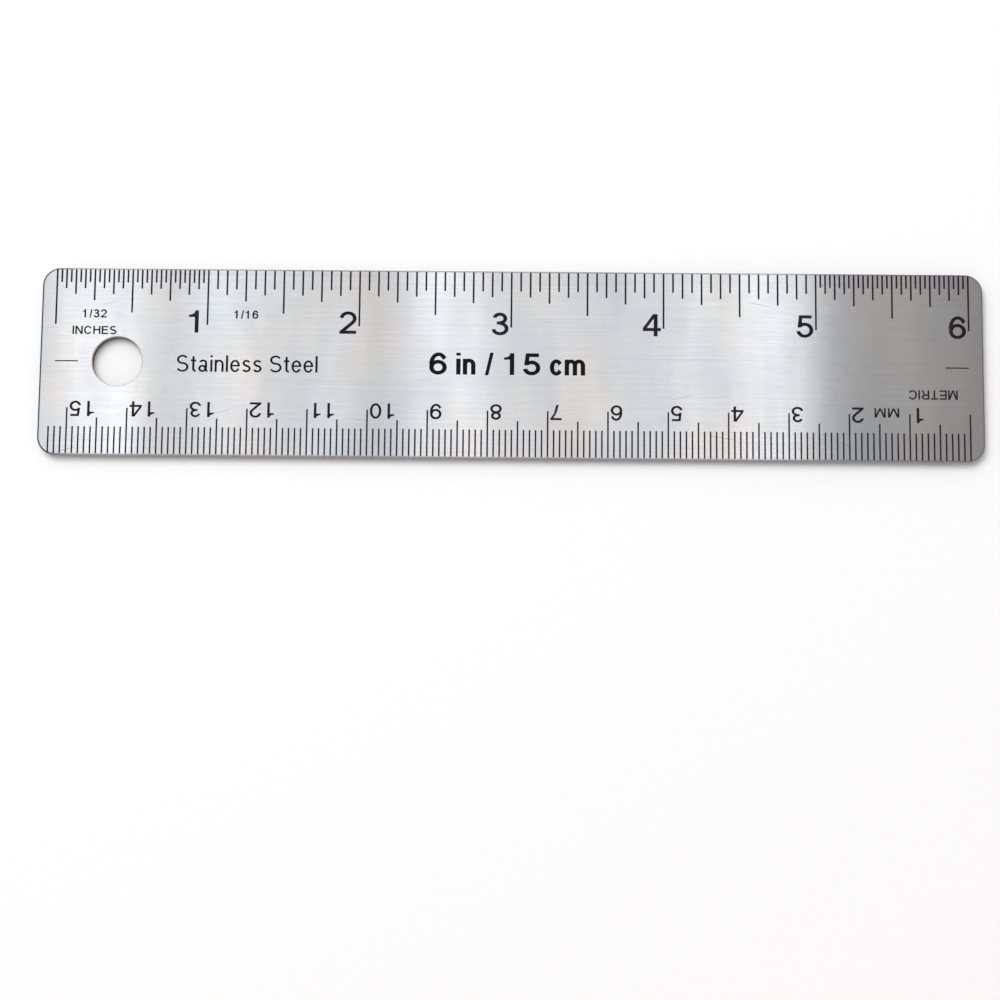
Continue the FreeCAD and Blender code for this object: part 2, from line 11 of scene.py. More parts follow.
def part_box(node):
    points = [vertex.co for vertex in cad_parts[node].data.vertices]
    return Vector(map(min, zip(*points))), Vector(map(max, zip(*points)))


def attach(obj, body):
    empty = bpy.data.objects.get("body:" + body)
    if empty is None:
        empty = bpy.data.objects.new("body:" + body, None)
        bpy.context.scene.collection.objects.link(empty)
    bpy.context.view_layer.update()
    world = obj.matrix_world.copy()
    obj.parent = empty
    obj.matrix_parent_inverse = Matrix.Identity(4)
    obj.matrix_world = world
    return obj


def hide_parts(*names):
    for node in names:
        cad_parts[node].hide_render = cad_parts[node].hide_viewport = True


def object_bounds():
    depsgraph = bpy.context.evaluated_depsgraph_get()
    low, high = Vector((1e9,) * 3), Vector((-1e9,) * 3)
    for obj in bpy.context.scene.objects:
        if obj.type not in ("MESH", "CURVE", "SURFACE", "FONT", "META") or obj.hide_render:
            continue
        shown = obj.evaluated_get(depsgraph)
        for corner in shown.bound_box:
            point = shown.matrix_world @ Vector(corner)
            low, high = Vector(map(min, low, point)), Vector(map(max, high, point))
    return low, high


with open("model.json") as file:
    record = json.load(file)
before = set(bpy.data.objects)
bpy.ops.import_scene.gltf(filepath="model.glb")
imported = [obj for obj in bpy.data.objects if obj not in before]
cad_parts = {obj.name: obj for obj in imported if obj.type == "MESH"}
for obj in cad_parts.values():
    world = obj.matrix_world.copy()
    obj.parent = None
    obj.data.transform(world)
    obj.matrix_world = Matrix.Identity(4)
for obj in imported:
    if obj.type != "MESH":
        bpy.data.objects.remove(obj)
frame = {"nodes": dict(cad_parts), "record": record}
cad_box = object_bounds()
nodes = frame["nodes"]
MM = 0.001

# ---------------------------------------------------------------- steel blade
# A flat strip of stainless steel, guillotined to size, with rounded corners, a punched
# hanging hole and broken edges. Both faces were brushed along the length with a fine belt,
# before the marks were etched into the front.


def linear(hex_colour):
    """An sRGB hex colour as linear values."""
    channels = [int(hex_colour[i:i + 2], 16) / 255 for i in (1, 3, 5)]
    return [c / 12.92 if c <= 0.04045 else ((c + 0.055) / 1.055) ** 2.4 for c in channels] + [1.0]


def add(tree, kind, inputs=None, stops=None, **settings):
    """Adds one node: settings by name, inputs as values or as other nodes' sockets,
    and a colour ramp's stops as (position, hex colour)."""
    node = tree.nodes.new(kind)
    for name, value in settings.items():
        setattr(node, name, value)
    for name, value in (inputs or {}).items():
        if isinstance(value, bpy.types.NodeSocket):
            tree.links.new(value, node.inputs[name])
        else:
            node.inputs[name].default_value = value
    if stops:
        ramp = node.color_ramp.elements
        ramp.remove(ramp[1])
        ramp[0].position = stops[0][0]
        ramp[0].color = linear(stops[0][1])
        for position, colour in stops[1:]:
            ramp.new(position).color = linear(colour)
    return node


def finish_for(name):
    """A new material, its emptied node tree, and a node with the object coordinates."""
    material = bpy.data.materials.new(name)
    material.use_nodes = True
    tree = material.node_tree
    tree.nodes.clear()
    place = add(tree, "ShaderNodeTexCoord")
    return material, tree, place


def dress(material, *names):
    """Gives CAD nodes a material in every slot that they have."""
    for name in names:
        piece = nodes[name]
        if not piece.material_slots:
            piece.data.materials.append(material)
        for slot in piece.material_slots:
            slot.material = material


def per(size_mm):
    """The texture scale at which one feature is this many millimetres, on metre coordinates."""
    return 1 / (size_mm * MM)


# The A, B and Result sockets of a Mix node set to colours, and the ones for numbers.
MIX_A, MIX_B, MIX_COLOUR = 6, 7, 2

# Brushed stainless steel, grade 304. The belt leaves fine lines along the length, so that it
# mirrors softly: sharp along the grain and spread out across it, with lines of light and dark.
steel, tree, place = finish_for("brushed stainless steel")
GRAIN = [
    # (length, width) of the belt's lines in mm; the finest are drawn wider than they are,
    # because real ones of 0.01 mm would not show
    (38, 0.20),
    (13, 0.11),
    (4, 0.07),
]
lines = []
for number, (length, width) in enumerate(GRAIN):
    stretched = add(tree, "ShaderNodeMapping", {
        "Vector": place.outputs["Object"],
        "Location": (number * 0.37, number * 0.61, 0),
        "Scale": (per(length), per(width), per(width)),
    })
    lines.append(add(tree, "ShaderNodeTexNoise", {
        "Vector": stretched.outputs["Vector"],
        "Scale": 1.0,
        "Detail": 1.0,
        "Roughness": 0.6,
    }).outputs["Fac"])
coarse_and_fine = add(tree, "ShaderNodeMath", {0: lines[0], 1: lines[1]}, operation="ADD")
all_lines = add(tree, "ShaderNodeMath", {
    0: coarse_and_fine.outputs[0],
    1: lines[2],
}, operation="ADD")
grain = add(tree, "ShaderNodeMapRange", {
    "Value": all_lines.outputs[0],
    "From Min": 0.95,
    "From Max": 2.05,
})

# Rolled sheet is never quite flat, and handling leaves faint clouds that dull it a little.
CLOUD_ALONG = 9
CLOUD_ACROSS = 30
WAVE = 34
smear = add(tree, "ShaderNodeMapping", {
    "Vector": place.outputs["Object"],
    "Location": (0.4, 0.9, 0),
    "Scale": (per(CLOUD_ALONG), per(CLOUD_ACROSS), per(CLOUD_ACROSS)),
})
cloud = add(tree, "ShaderNodeTexNoise", {
    "Vector": smear.outputs["Vector"],
    "Scale": 1.0,
    "Detail": 3.0,
    "Roughness": 0.55,
})
wave = add(tree, "ShaderNodeTexNoise", {
    "Vector": place.outputs["Object"],
    "Scale": per(WAVE),
    "Detail": 1.0,
})

# A few hairline scratches from use, nearly along the grain: the peaks of a stretched noise.
SCRATCH_LENGTH = 9
SCRATCH_WIDTH = 0.2
SCRATCH_ANGLES = (9, -14)
scratches = []
for number, angle in enumerate(SCRATCH_ANGLES):
    turned = add(tree, "ShaderNodeMapping", {
        "Vector": place.outputs["Object"],
        "Location": (0.013 * number, 0.029 * (number + 1), 0),
        "Rotation": (0, 0, math.radians(angle)),
    })
    drawn_out = add(tree, "ShaderNodeVectorMath", {
        0: turned.outputs["Vector"],
        1: (per(SCRATCH_LENGTH), per(SCRATCH_WIDTH), per(3)),
    }, operation="MULTIPLY")
    streak = add(tree, "ShaderNodeTexNoise", {
        "Vector": drawn_out.outputs["Vector"],
        "Scale": 1.0,
        "Detail": 0.0,
    })
    scratches.append(add(tree, "ShaderNodeMapRange", {
        "Value": streak.outputs["Fac"],
        "From Min": 0.88,
        "From Max": 0.94,
    }).outputs["Result"])
scratch = add(tree, "ShaderNodeMath", {0: scratches[0], 1: scratches[1]}, operation="MAXIMUM")

# Rolling and pickling leave a faint sandy speckle under the lines, and slow drifts between a
# cooler and a warmer grey.
SAND = 0.35
DRIFT_ALONG = 14
DRIFT_ACROSS = 22
sand = add(tree, "ShaderNodeTexNoise", {
    "Vector": place.outputs["Object"],
    "Scale": per(SAND),
    "Detail": 2.0,
    "Roughness": 0.7,
})
drift_place = add(tree, "ShaderNodeMapping", {
    "Vector": place.outputs["Object"],
    "Location": (0.7, 0.2, 0),
    "Scale": (per(DRIFT_ALONG), per(DRIFT_ACROSS), per(DRIFT_ACROSS)),
})
drift = add(tree, "ShaderNodeTexNoise", {
    "Vector": drift_place.outputs["Vector"],
    "Scale": 1.0,
    "Detail": 2.0,
})
greys = add(tree, "ShaderNodeValToRGB", {"Fac": drift.outputs["Fac"]}, stops=[
    (0.34, "#D3D8DB"),
    (0.50, "#D8D9DA"),
    (0.66, "#DCDAD6"),
])
grain_and_sand = add(tree, "ShaderNodeMath", {
    0: sand.outputs["Fac"],
    1: 0.55,
    2: grain.outputs["Result"],
}, operation="MULTIPLY_ADD")
shade = add(tree, "ShaderNodeMapRange", {
    "Value": grain_and_sand.outputs[0],
    "From Min": 0.35,
    "From Max": 1.2,
    "To Min": 0.945,
    "To Max": 1.045,
})
tone = add(tree, "ShaderNodeVectorMath", {
    0: greys.outputs["Color"],
    "Scale": shade.outputs["Result"],
}, operation="SCALE")
clouded = add(tree, "ShaderNodeMapRange", {
    "Value": cloud.outputs["Fac"],
    "From Min": 0.35,
    "From Max": 0.65,
    "To Min": 0.0,
    "To Max": 0.35,
})
dulled = add(tree, "ShaderNodeMix", {
    0: clouded.outputs["Result"],
    MIX_A: tone.outputs["Vector"],
    MIX_B: linear("#BEBFC5"),
}, data_type="RGBA")
marked = add(tree, "ShaderNodeMix", {
    0: scratch.outputs[0],
    MIX_A: dulled.outputs[MIX_COLOUR],
    MIX_B: linear("#A9A9AC"),
}, data_type="RGBA")

# A painted reflection: a dark, slightly blue line round the outline of the top face, as if the
# rounded edge mirrored a dark room, and most of it at the hole end. Its distance comes from a
# rounded rectangle worked out here, with the corner radius and the line's width in mm.
BLADE_CORNER = 3.0
PAINTED_REFLECTION_WIDTH = 0.34
PAINTED_REFLECTION_FULL = PAINTED_REFLECTION_WIDTH * 0.45
blade_low, blade_high = (Vector(corner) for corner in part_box("steel_blade"))
half_blade = (blade_high - blade_low) / 2
from_middle = add(tree, "ShaderNodeVectorMath", {
    0: place.outputs["Object"],
    1: (blade_low + blade_high) / 2,
}, operation="SUBTRACT")
one_quarter = add(tree, "ShaderNodeVectorMath", {0: from_middle.outputs["Vector"]},
                  operation="ABSOLUTE")
past_corner = add(tree, "ShaderNodeVectorMath", {
    0: one_quarter.outputs["Vector"],
    1: (half_blade.x - BLADE_CORNER * MM, half_blade.y - BLADE_CORNER * MM, 1),
}, operation="SUBTRACT")
outside_only = add(tree, "ShaderNodeVectorMath", {
    0: past_corner.outputs["Vector"],
    1: (0, 0, 0),
}, operation="MAXIMUM")
reached = add(tree, "ShaderNodeVectorMath", {0: outside_only.outputs["Vector"]},
              operation="LENGTH")
painted_reflection_line = add(tree, "ShaderNodeMapRange", {
    "Value": reached.outputs["Value"],
    "From Min": (BLADE_CORNER - PAINTED_REFLECTION_WIDTH) * MM,
    "From Max": (BLADE_CORNER - PAINTED_REFLECTION_FULL) * MM,
}, interpolation_type="SMOOTHSTEP")
blade_place = add(tree, "ShaderNodeSeparateXYZ", {"Vector": place.outputs["Object"]})
# The painted dark reflection is strongest at the hole end.
painted_reflection_towards_hole = add(tree, "ShaderNodeMapRange", {
    "Value": blade_place.outputs["X"],
    "From Min": blade_low.x + 1 * MM,
    "From Max": blade_low.x + 6 * MM,
    "To Min": 1.0,
    "To Max": 0.45,
})
rim_only = add(tree, "ShaderNodeMapRange", {
    "Value": blade_place.outputs["Z"],
    "From Min": blade_high.z - 0.16 * MM,
    "From Max": blade_high.z - 0.08 * MM,
})
painted_reflection_strength = add(tree, "ShaderNodeMath", {
    0: painted_reflection_line.outputs["Result"],
    1: painted_reflection_towards_hole.outputs["Result"],
}, operation="MULTIPLY")
painted_reflection_on_rim = add(tree, "ShaderNodeMath", {
    0: painted_reflection_strength.outputs[0],
    1: rim_only.outputs["Result"],
}, operation="MULTIPLY")
# Mixes the painted dark reflection over the steel, at the top rim of the outline.
with_painted_edge_reflection = add(tree, "ShaderNodeMix", {
    0: painted_reflection_on_rim.outputs[0],
    MIX_A: marked.outputs[MIX_COLOUR],
    MIX_B: linear("#343B62"),
}, data_type="RGBA")

# The sheared walls are not brushed: duller, with fine upright marks from the shear blade.
SHEAR_MARK_WIDTH = 0.12
SHEAR_MARK_HEIGHT = 1.5
facing = add(tree, "ShaderNodeSeparateXYZ", {"Vector": place.outputs["Normal"]})
uprightness = add(tree, "ShaderNodeMath", {0: facing.outputs["Z"]}, operation="ABSOLUTE")
wall = add(tree, "ShaderNodeMapRange", {
    "Value": uprightness.outputs[0],
    "From Min": 0.15,
    "From Max": 0.45,
    "To Min": 1.0,
    "To Max": 0.0,
})
shear_place = add(tree, "ShaderNodeMapping", {
    "Vector": place.outputs["Object"],
    "Scale": (per(SHEAR_MARK_WIDTH), per(SHEAR_MARK_WIDTH), per(SHEAR_MARK_HEIGHT)),
})
shear_marks = add(tree, "ShaderNodeTexNoise", {
    "Vector": shear_place.outputs["Vector"],
    "Scale": 1.0,
    "Detail": 2.0,
})
sheared = add(tree, "ShaderNodeValToRGB", {"Fac": shear_marks.outputs["Fac"]}, stops=[
    (0.35, "#8F9298"),
    (0.65, "#BDBFC3"),
])
walled_blade = add(tree, "ShaderNodeMix", {
    0: wall.outputs["Result"],
    MIX_A: with_painted_edge_reflection.outputs[MIX_COLOUR],
    MIX_B: sheared.outputs["Color"],
}, data_type="RGBA")
rough_grain = add(tree, "ShaderNodeMapRange", {
    "Value": grain.outputs["Result"],
    "To Min": 0.18,
    "To Max": 0.16,
})
rough = add(tree, "ShaderNodeMath", {
    0: clouded.outputs["Result"],
    1: 0.08,
    2: rough_grain.outputs["Result"],
}, operation="MULTIPLY_ADD")
dull_wall = add(tree, "ShaderNodeMath", {
    0: wall.outputs["Result"],
    1: 0.24,
    2: rough.outputs[0],
}, operation="MULTIPLY_ADD")
grain_height = add(tree, "ShaderNodeBump", {
    "Height": grain.outputs["Result"],
    "Strength": 0.5,
    "Distance": 0.004 * MM,
})
wavy_height = add(tree, "ShaderNodeBump", {
    "Height": wave.outputs["Fac"],
    "Strength": 1.0,
    "Distance": 0.04 * MM,
    "Normal": grain_height.outputs["Normal"],
})
scratch_height = add(tree, "ShaderNodeBump", {
    "Height": scratch.outputs[0],
    "Strength": 0.5,
    "Distance": 0.01 * MM,
    "Normal": wavy_height.outputs["Normal"],
}, invert=True)
across_grain = add(tree, "ShaderNodeTangent", direction_type="RADIAL", axis="X")
shader = add(tree, "ShaderNodeBsdfPrincipled", {
    "Base Color": walled_blade.outputs[MIX_COLOUR],
    "Metallic": 1.0,
    "Roughness": dull_wall.outputs[0],
    "Anisotropic": 0.97,
    "Normal": scratch_height.outputs["Normal"],
    "Tangent": across_grain.outputs["Tangent"],
})
add(tree, "ShaderNodeOutputMaterial", {"Surface": shader.outputs["BSDF"]})
dress(steel, "steel_blade")

# ---------------------------------------------------------------- etched marks
# The scales, numbers and words: shallow lines etched into the front of the blade, and filled
# level with a baked black enamel that is wiped off the steel round them.

# Black stoving enamel, wiped. It is thin and slightly purple at the edge of a line, and its
# top is dull, with small pits where the fill has shrunk. The scales were filled thinner than
# the two legends on the centreline, which are a full black.
ENAMEL_PIT = 0.12
ENAMEL_PATCH = 2.5


def etching_fill(name, deep, middle, thin):
    """An enamel fill from its deep colour to the colour where it lies thin."""
    fill, tree, place = finish_for(name)
    speckle = add(tree, "ShaderNodeTexNoise", {
        "Vector": place.outputs["Object"],
        "Scale": per(ENAMEL_PIT),
        "Detail": 3.0,
        "Roughness": 0.7,
    })
    patch = add(tree, "ShaderNodeTexNoise", {
        "Vector": place.outputs["Object"],
        "Scale": per(ENAMEL_PATCH),
        "Detail": 2.0,
    })
    uneven = add(tree, "ShaderNodeMath", {
        0: speckle.outputs["Fac"],
        1: 0.55,
        2: patch.outputs["Fac"],
    }, operation="MULTIPLY_ADD")
    ink = add(tree, "ShaderNodeValToRGB", {"Fac": uneven.outputs[0]}, stops=[
        (0.55, deep),
        (0.80, middle),
        (0.98, thin),
    ])
    wiped = add(tree, "ShaderNodeMapRange", {
        "Value": uneven.outputs[0],
        "From Min": 0.5,
        "From Max": 1.0,
        "To Min": 0.5,
        "To Max": 0.7,
    })
    pits = add(tree, "ShaderNodeBump", {
        "Height": speckle.outputs["Fac"],
        "Strength": 0.4,
        "Distance": 0.01 * MM,
    })
    shader = add(tree, "ShaderNodeBsdfPrincipled", {
        "Base Color": ink.outputs["Color"],
        "Roughness": wiped.outputs["Result"],
        "IOR": 1.48,
        "Specular IOR Level": 0.18,
        "Normal": pits.outputs["Normal"],
    })
    add(tree, "ShaderNodeOutputMaterial", {"Surface": shader.outputs["BSDF"]})
    return fill


dress(
    etching_fill("thin black enamel", "#120F19", "#1C1823", "#332C3A"),
    "inch_graduations",
    "metric_graduations",
    "inch_numerals",
    "metric_numerals",
    "fraction_legends",
    "inch_unit_legend",
    "metric_unit_legends",
    "centre_hairlines",
)
dress(
    etching_fill("full black enamel", "#08080A", "#0D0C0F", "#17161A"),
    "material_legend",
    "length_legend",
)

# ---------------------------------------------------------------- adhesive film
# A double-sided film that holds the cork to the steel. Only its edge shows, as a thin line
# between the two, cut with the cork in one go.

# Acrylic adhesive on a clear film: amber, darkened by the cork dust that clings to its cut
# edge, glossy where it is clean and dull where it is dusty.
DUST = 0.4
film, tree, place = finish_for("acrylic adhesive film")
dust = add(tree, "ShaderNodeTexNoise", {
    "Vector": place.outputs["Object"],
    "Scale": per(DUST),
    "Detail": 4.0,
    "Roughness": 0.65,
})
amber = add(tree, "ShaderNodeValToRGB", {"Fac": dust.outputs["Fac"]}, stops=[
    (0.38, "#8C7650"),
    (0.55, "#776040"),
    (0.68, "#573F2A"),
])
dusty = add(tree, "ShaderNodeMapRange", {
    "Value": dust.outputs["Fac"],
    "From Min": 0.35,
    "From Max": 0.65,
    "To Min": 0.22,
    "To Max": 0.6,
})
beads = add(tree, "ShaderNodeBump", {
    "Height": dust.outputs["Fac"],
    "Strength": 0.4,
    "Distance": 0.03 * MM,
})
shader = add(tree, "ShaderNodeBsdfPrincipled", {
    "Base Color": amber.outputs["Color"],
    "Roughness": dusty.outputs["Result"],
    "IOR": 1.47,
    "Normal": beads.outputs["Normal"],
})
add(tree, "ShaderNodeOutputMaterial", {"Surface": shader.outputs["BSDF"]})
dress(film, "adhesive_film")

# ---------------------------------------------------------------- cork backing
# A thin sheet of agglomerated cork: granules pressed with a binder into a block and sliced.
# The knife leaves the face flat with small pits between granules, and the edges crumble.
# Sizes in mm: a granule and the fine grains in it, the mesh's step, the deepest pit, and how
# far the edge crumbles and in what size of crumb.
CORK_GRANULE = 1.15
CORK_GRAIN = 0.42
CORK_CELL = 0.13
CORK_WARP = 0.9
CORK_STEP = 0.3
CORK_PIT = 0.09
CORK_RAGGED = 0.14
CORK_CRUMB = 0.7
CORK_STOREYS = 3
CORK_WELD = 0.002
# How many steps from the hole a cut corner of the grid can lie: a diagonal and a little more.
CORK_RIM_STEPS = 1.5
CORK_SEED = 7.0
low, high = (Vector(corner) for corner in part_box("cork_backing"))
hang_hole = next(mount for mount in frame["record"]["mounts"] if mount["name"] == "hang_hole")
hole_radius = hang_hole["dims"]["r_mm"] * MM
hole_x = hang_hole["pos_m"][0]

# Agglomerated cork, unsealed. Each granule has its own brown, with darker bark specks, a few
# pale flecks and a soft cellular grain inside; it is matt all over.
cork, tree, place = finish_for("agglomerated cork")
bend = add(tree, "ShaderNodeTexNoise", {
    "Vector": place.outputs["Object"],
    "Scale": per(CORK_WARP),
    "Detail": 3.0,
    "Roughness": 0.6,
})
nudged = add(tree, "ShaderNodeVectorMath", {
    0: bend.outputs["Color"],
    1: (0.5, 0.5, 0.5),
}, operation="SUBTRACT")
warped = add(tree, "ShaderNodeVectorMath", {
    0: nudged.outputs["Vector"],
    1: (CORK_WARP * MM, CORK_WARP * MM, CORK_WARP * MM),
    2: place.outputs["Object"],
}, operation="MULTIPLY_ADD")
granules = add(tree, "ShaderNodeTexVoronoi", {
    "Vector": warped.outputs["Vector"],
    "Scale": per(CORK_GRANULE),
    "Randomness": 1.0,
}, feature="F1")
seams = add(tree, "ShaderNodeTexVoronoi", {
    "Vector": warped.outputs["Vector"],
    "Scale": per(CORK_GRANULE),
    "Randomness": 1.0,
}, feature="DISTANCE_TO_EDGE")
crumbs = add(tree, "ShaderNodeTexVoronoi", {
    "Vector": warped.outputs["Vector"],
    "Scale": per(CORK_GRAIN),
    "Randomness": 1.0,
}, feature="F1")
granule_pick = add(tree, "ShaderNodeSeparateColor", {"Color": granules.outputs["Color"]})
crumb_pick = add(tree, "ShaderNodeSeparateColor", {"Color": crumbs.outputs["Color"]})
browns = add(tree, "ShaderNodeValToRGB", {"Fac": granule_pick.outputs["Red"]}, stops=[
    (0.00, "#351E0F"),
    (0.15, "#492A15"),
    (0.50, "#573319"),
    (0.80, "#643C1F"),
    (1.00, "#74492A"),
])
crumb_browns = add(tree, "ShaderNodeValToRGB", {"Fac": crumb_pick.outputs["Green"]}, stops=[
    (0.00, "#28150A"),
    (0.22, "#452713"),
    (0.78, "#5F391D"),
    (1.00, "#7E5430"),
])
mottled = add(tree, "ShaderNodeMix", {
    0: 0.55,
    MIX_A: browns.outputs["Color"],
    MIX_B: crumb_browns.outputs["Color"],
}, data_type="RGBA")
cells = add(tree, "ShaderNodeTexNoise", {
    "Vector": place.outputs["Object"],
    "Scale": per(CORK_CELL),
    "Detail": 3.0,
    "Roughness": 0.7,
})
cell_shade = add(tree, "ShaderNodeMapRange", {
    "Value": cells.outputs["Fac"],
    "From Min": 0.3,
    "From Max": 0.7,
    "To Min": 0.66,
    "To Max": 1.3,
})
celled = add(tree, "ShaderNodeVectorMath", {
    0: mottled.outputs[MIX_COLOUR],
    "Scale": cell_shade.outputs["Result"],
}, operation="SCALE")
seam_dark = add(tree, "ShaderNodeMapRange", {
    "Value": seams.outputs["Distance"],
    "From Min": 0.0,
    "From Max": 0.11,
    "To Min": 0.38,
    "To Max": 0.0,
})
seamed = add(tree, "ShaderNodeMix", {
    0: seam_dark.outputs["Result"],
    MIX_A: celled.outputs["Vector"],
    MIX_B: linear("#2A170C"),
}, data_type="RGBA")
flecks = add(tree, "ShaderNodeMapRange", {
    "Value": crumb_pick.outputs["Blue"],
    "From Min": 0.993,
    "From Max": 1.0,
    "To Max": 0.6,
})
pale_flecked = add(tree, "ShaderNodeMix", {
    0: flecks.outputs["Result"],
    MIX_A: seamed.outputs[MIX_COLOUR],
    MIX_B: linear("#A8885C"),
}, data_type="RGBA")
bark = add(tree, "ShaderNodeMapRange", {
    "Value": granule_pick.outputs["Blue"],
    "From Min": 0.98,
    "From Max": 0.99,
    "To Max": 0.55,
})
flecked = add(tree, "ShaderNodeMix", {
    0: bark.outputs["Result"],
    MIX_A: pale_flecked.outputs[MIX_COLOUR],
    MIX_B: linear("#241513"),
}, data_type="RGBA")
# Painted light on the wall of the hanging hole: one even brown, lighter and greyer than the
# cork round it, that lifts the shade inside the hole.
to_hole = add(tree, "ShaderNodeVectorMath", {
    0: place.outputs["Object"],
    1: (hole_x, 0, 0),
}, operation="SUBTRACT")
level = add(tree, "ShaderNodeVectorMath", {
    0: to_hole.outputs["Vector"],
    1: (1, 1, 0),
}, operation="MULTIPLY")
hole_reach = add(tree, "ShaderNodeVectorMath", {0: level.outputs["Vector"]}, operation="LENGTH")
hole_wall_painted_light = add(tree, "ShaderNodeMapRange", {
    "Value": hole_reach.outputs["Value"],
    "From Min": hole_radius + 0.10 * MM,
    "From Max": hole_radius + 0.28 * MM,
    "To Min": 0.85,
    "To Max": 0.0,
})
# The lighter brown is painted on the hole's wall to lift its shade.
with_painted_hole_light = add(tree, "ShaderNodeMix", {
    0: hole_wall_painted_light.outputs["Result"],
    MIX_A: flecked.outputs[MIX_COLOUR],
    MIX_B: linear("#5E4430"),
}, data_type="RGBA")
relief_mix = add(tree, "ShaderNodeMath", {
    0: cells.outputs["Fac"],
    1: 0.35,
    2: seams.outputs["Distance"],
}, operation="MULTIPLY_ADD")
grained = add(tree, "ShaderNodeBump", {
    "Height": relief_mix.outputs[0],
    "Strength": 0.75,
    "Distance": 0.25 * MM,
})
matt = add(tree, "ShaderNodeMapRange", {
    "Value": cells.outputs["Fac"],
    "To Min": 0.72,
    "To Max": 0.95,
})
shader = add(tree, "ShaderNodeBsdfPrincipled", {
    "Base Color": with_painted_hole_light.outputs[MIX_COLOUR],
    "Roughness": matt.outputs["Result"],
    "IOR": 1.4,
    "Specular IOR Level": 0.35,
    "Normal": grained.outputs["Normal"],
})
add(tree, "ShaderNodeOutputMaterial", {"Surface": shader.outputs["BSDF"]})

# The sheet: a fine grid of the knife-cut face, cut away at the hole, dented between granules
# and crumbled at its outline, with walls up to the film and a flat face against it.
sheet = bpy.data.node_groups.new("Sliced cork sheet", "GeometryNodeTree")
sheet.interface.new_socket("Geometry", in_out="OUTPUT", socket_type="NodeSocketGeometry")
CORK_INPUTS = {
    "Centre": ("NodeSocketVector", (low + high) / 2),
    "Length": ("NodeSocketFloat", high.x - low.x),
    "Width": ("NodeSocketFloat", high.y - low.y),
    "Thickness": ("NodeSocketFloat", high.z - low.z),
    "Hole Centre": ("NodeSocketVector", Vector((hole_x, 0, 0))),
    "Hole Radius": ("NodeSocketFloat", hole_radius),
    "Step": ("NodeSocketFloat", CORK_STEP * MM),
    "Granule": ("NodeSocketFloat", CORK_GRANULE * MM),
    "Pit Depth": ("NodeSocketFloat", CORK_PIT * MM),
    "Ragged": ("NodeSocketFloat", CORK_RAGGED * MM),
    "Crumb": ("NodeSocketFloat", CORK_CRUMB * MM),
    "Seed": ("NodeSocketFloat", CORK_SEED),
    "Finish": ("NodeSocketMaterial", cork),
}
identifiers = {
    name: sheet.interface.new_socket(name, in_out="INPUT", socket_type=kind).identifier
    for name, (kind, _) in CORK_INPUTS.items()
}
given = add(sheet, "NodeGroupInput").outputs
along = add(sheet, "ShaderNodeMath", {0: given["Length"], 1: given["Step"]}, operation="DIVIDE")
across = add(sheet, "ShaderNodeMath", {0: given["Width"], 1: given["Step"]}, operation="DIVIDE")
grid = add(sheet, "GeometryNodeMeshGrid", {
    "Size X": given["Length"],
    "Size Y": given["Width"],
    "Vertices X": along.outputs[0],
    "Vertices Y": across.outputs[0],
})
half_down = add(sheet, "ShaderNodeMath", {0: given["Thickness"], 1: -0.5}, operation="MULTIPLY")
down = add(sheet, "ShaderNodeCombineXYZ", {"Z": half_down.outputs[0]})
to_place = add(sheet, "ShaderNodeVectorMath", {
    0: given["Centre"],
    1: down.outputs["Vector"],
}, operation="ADD")
placed = add(sheet, "GeometryNodeTransform", {
    "Geometry": grid.outputs["Mesh"],
    "Translation": to_place.outputs["Vector"],
})
position = add(sheet, "GeometryNodeInputPosition").outputs["Position"]
from_hole = add(sheet, "ShaderNodeVectorMath", {0: position, 1: given["Hole Centre"]},
                operation="SUBTRACT")
flat = add(sheet, "ShaderNodeVectorMath", {
    0: from_hole.outputs["Vector"],
    1: (1, 1, 0),
}, operation="MULTIPLY")
radius = add(sheet, "ShaderNodeVectorMath", {0: flat.outputs["Vector"]}, operation="LENGTH")
inside = add(sheet, "FunctionNodeCompare", {
    0: radius.outputs["Value"],
    1: given["Hole Radius"],
}, data_type="FLOAT", operation="LESS_THAN")
holed = add(sheet, "GeometryNodeDeleteGeometry", {
    "Geometry": placed.outputs["Geometry"],
    "Selection": inside.outputs["Result"],
}, domain="POINT")
reach = add(sheet, "ShaderNodeMath", {
    0: given["Step"],
    1: CORK_RIM_STEPS,
    2: given["Hole Radius"],
}, operation="MULTIPLY_ADD")
edge_faces = add(sheet, "GeometryNodeInputMeshEdgeNeighbors")
open_edge = add(sheet, "FunctionNodeCompare", {
    2: edge_faces.outputs["Face Count"],
    3: 1,
}, data_type="INT", operation="EQUAL")
on_open_edge = add(sheet, "GeometryNodeFieldOnDomain", {
    "Value": open_edge.outputs["Result"],
}, data_type="BOOLEAN", domain="EDGE")
near_hole = add(sheet, "FunctionNodeCompare", {
    0: radius.outputs["Value"],
    1: reach.outputs[0],
}, data_type="FLOAT", operation="LESS_THAN")
rim = add(sheet, "FunctionNodeBooleanMath", {
    0: on_open_edge.outputs["Value"],
    1: near_hole.outputs["Result"],
}, operation="AND")
outward = add(sheet, "ShaderNodeVectorMath", {0: flat.outputs["Vector"]}, operation="NORMALIZE")
shortfall = add(sheet, "ShaderNodeMath", {
    0: given["Hole Radius"],
    1: radius.outputs["Value"],
}, operation="SUBTRACT")
to_rim = add(sheet, "ShaderNodeVectorMath", {
    0: outward.outputs["Vector"],
    "Scale": shortfall.outputs[0],
}, operation="SCALE")
round_hole = add(sheet, "GeometryNodeSetPosition", {
    "Geometry": holed.outputs["Geometry"],
    "Selection": rim.outputs["Boolean"],
    "Offset": to_rim.outputs["Vector"],
})
facing_down = add(sheet, "GeometryNodeFlipFaces", {"Mesh": round_hole.outputs["Geometry"]})
upwards = add(sheet, "ShaderNodeCombineXYZ", {"Z": 1.0})
storey = add(sheet, "ShaderNodeMath", {0: given["Thickness"], 1: float(CORK_STOREYS)},
             operation="DIVIDE")
